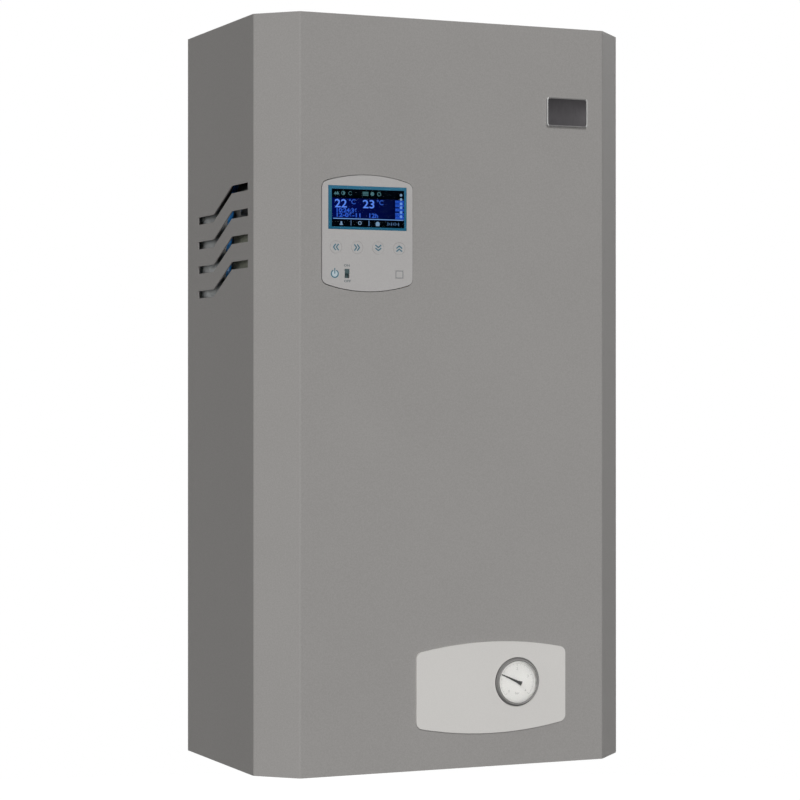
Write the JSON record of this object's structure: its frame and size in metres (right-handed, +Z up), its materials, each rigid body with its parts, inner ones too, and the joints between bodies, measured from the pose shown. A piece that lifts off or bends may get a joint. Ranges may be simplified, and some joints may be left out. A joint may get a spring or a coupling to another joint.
{
  "type": "electric heating boiler",
  "caption": "Wall-hung electric heating boiler in a chamfered sheet casing, with a control panel, a pressure gauge and its water and electrical parts inside.",
  "frame": {"origin": "centre of the four wall holes, on the back face that meets the wall", "axes": "+Z up, +Y into the wall, +X to the right as seen from the front"},
  "size_m": [0.4, 0.2347, 0.74],
  "materials": {
    "casing_paint": "fine-textured powder coat",
    "galvanised_sheet": "galvanised sheet, dull",
    "badge_metal": "dark brushed metal with a bright rim",
    "plate_plastic": "light grey satin plate",
    "zinc_fastener": "bright zinc plate",
    "housing_plastic": "moulded, fine texture",
    "panel_face": "satin grey moulded face",
    "display_glass": "clear flat window",
    "display_cell": "blue liquid crystal cell",
    "circuit_board": "green solder mask",
    "black_plastic": "black moulded plastic",
    "flat_cable": "grey ribbon insulation",
    "gauge_black": "black painted steel case",
    "bezel_metal": "turned ring",
    "dial_white": "white enamel",
    "gauge_lens": "clear flat glass",
    "pointer_black": "black paint",
    "copper": "drawn copper, slightly dull",
    "vessel_steel": "welded steel",
    "jacket_foam": "dark insulating foam",
    "gasket_rubber": "flat gasket",
    "brass": "machined brass",
    "pump_iron": "painted casting",
    "motor_paint": "die-cast, grey paint",
    "impeller_plastic": "moulded glass-filled plastic",
    "knob_red": "red moulded plastic",
    "heat_sink_metal": "extruded aluminium",
    "terminal_grey": "grey polyamide",
    "blue_insulation": "blue wire insulation",
    "black_insulation": "black wire insulation",
    "brown_insulation": "brown wire insulation"
  },
  "bodies": {
    "chassis": {"top_panel": "casing_paint", "bottom_panel": "casing_paint", "back_plate": "galvanised_sheet", "panel_bracket": "galvanised_sheet", "gauge_bracket": "galvanised_sheet", "vessel_straps": "galvanised_sheet", "mounting_plate": "galvanised_sheet", "din_rails": "galvanised_sheet", "chassis_screws": "zinc_fastener", "flange_bolts": "zinc_fastener", "panel_housing": "housing_plastic", "control_panel": "panel_face", "display_window": "display_glass", "display_module": "display_cell", "display_board": "circuit_board", "power_board": "circuit_board", "switch_body": "black_plastic", "board_parts": "black_plastic", "contactor": "black_plastic", "limit_thermostat": "black_plastic", "cable_glands": "black_plastic", "ribbon_cable": "flat_cable", "gauge_case": "gauge_black", "gauge_bezel": "bezel_metal", "gauge_dial": "dial_white", "gauge_glass": "gauge_lens", "supply_pipe": "copper", "return_pipe": "copper", "transfer_pipe": "copper", "relief_pipe": "copper", "gauge_capillary": "copper", "terminal_bridge": "copper", "heating_vessel": "vessel_steel", "heater_flange": "vessel_steel", "heating_rods": "vessel_steel", "vessel_jacket": "jacket_foam", "flange_gasket": "gasket_rubber", "air_vent": "brass", "union_nuts": "brass", "relief_valve": "brass", "pump_volute": "pump_iron", "pump_motor": "motor_paint", "heat_sink": "heat_sink_metal", "terminal_block": "terminal_grey", "neutral_lead": "blue_insulation", "phase_leads": "black_insulation", "contactor_leads": "brown_insulation"},
    "cover": {"front_cover": "casing_paint", "badge": "badge_metal", "gauge_plate": "plate_plastic", "cover_screws": "zinc_fastener"},
    "left_key": {"left_key": "panel_face"},
    "right_key": {"right_key": "panel_face"},
    "down_key": {"down_key": "panel_face"},
    "up_key": {"up_key": "panel_face"},
    "square_key": {"square_key": "panel_face"},
    "switch_knob": {"switch_knob": "black_plastic"},
    "pointer": {"gauge_pointer": "pointer_black"},
    "impeller": {"pump_impeller": "impeller_plastic"},
    "relief_knob": {"relief_knob": "knob_red"}
  },
  "joints": [
    {"name": "cover_pull", "type": "slide", "parent": "chassis", "child": "cover", "axis": [0, -1, 0], "range_m": [0, 0.26]},
    {"name": "left_key_press", "type": "slide", "parent": "chassis", "child": "left_key", "axis": [0, 1, 0], "range_m": [0, 0.0005], "stiffness_N_per_m": 600, "springref_m": -0.001},
    {"name": "right_key_press", "type": "slide", "parent": "chassis", "child": "right_key", "axis": [0, 1, 0], "range_m": [0, 0.0005], "stiffness_N_per_m": 600, "springref_m": -0.001},
    {"name": "down_key_press", "type": "slide", "parent": "chassis", "child": "down_key", "axis": [0, 1, 0], "range_m": [0, 0.0005], "stiffness_N_per_m": 600, "springref_m": -0.001},
    {"name": "up_key_press", "type": "slide", "parent": "chassis", "child": "up_key", "axis": [0, 1, 0], "range_m": [0, 0.0005], "stiffness_N_per_m": 600, "springref_m": -0.001},
    {"name": "square_key_press", "type": "slide", "parent": "chassis", "child": "square_key", "axis": [0, 1, 0], "range_m": [0, 0.0005], "stiffness_N_per_m": 600, "springref_m": -0.001},
    {"name": "switch_slide", "type": "slide", "parent": "chassis", "child": "switch_knob", "axis": [0, 0, 1], "range_m": [-0.0043, 0]},
    {"name": "pointer_turn", "type": "hinge", "parent": "chassis", "child": "pointer", "pos_m": [0.0678, -0.2314, -0.287], "axis": [0, 1, 0], "range_deg": [-70, 200]},
    {"name": "impeller_spin", "type": "hinge", "parent": "chassis", "child": "impeller", "pos_m": [0.075, -0.1, -0.235], "axis": [0, 1, 0], "continuous": true},
    {"name": "relief_knob_turn", "type": "hinge", "parent": "chassis", "child": "relief_knob", "pos_m": [-0.09, -0.11, -0.265], "axis": [-1, 0, 0], "range_deg": [0, 90]}
  ]
}
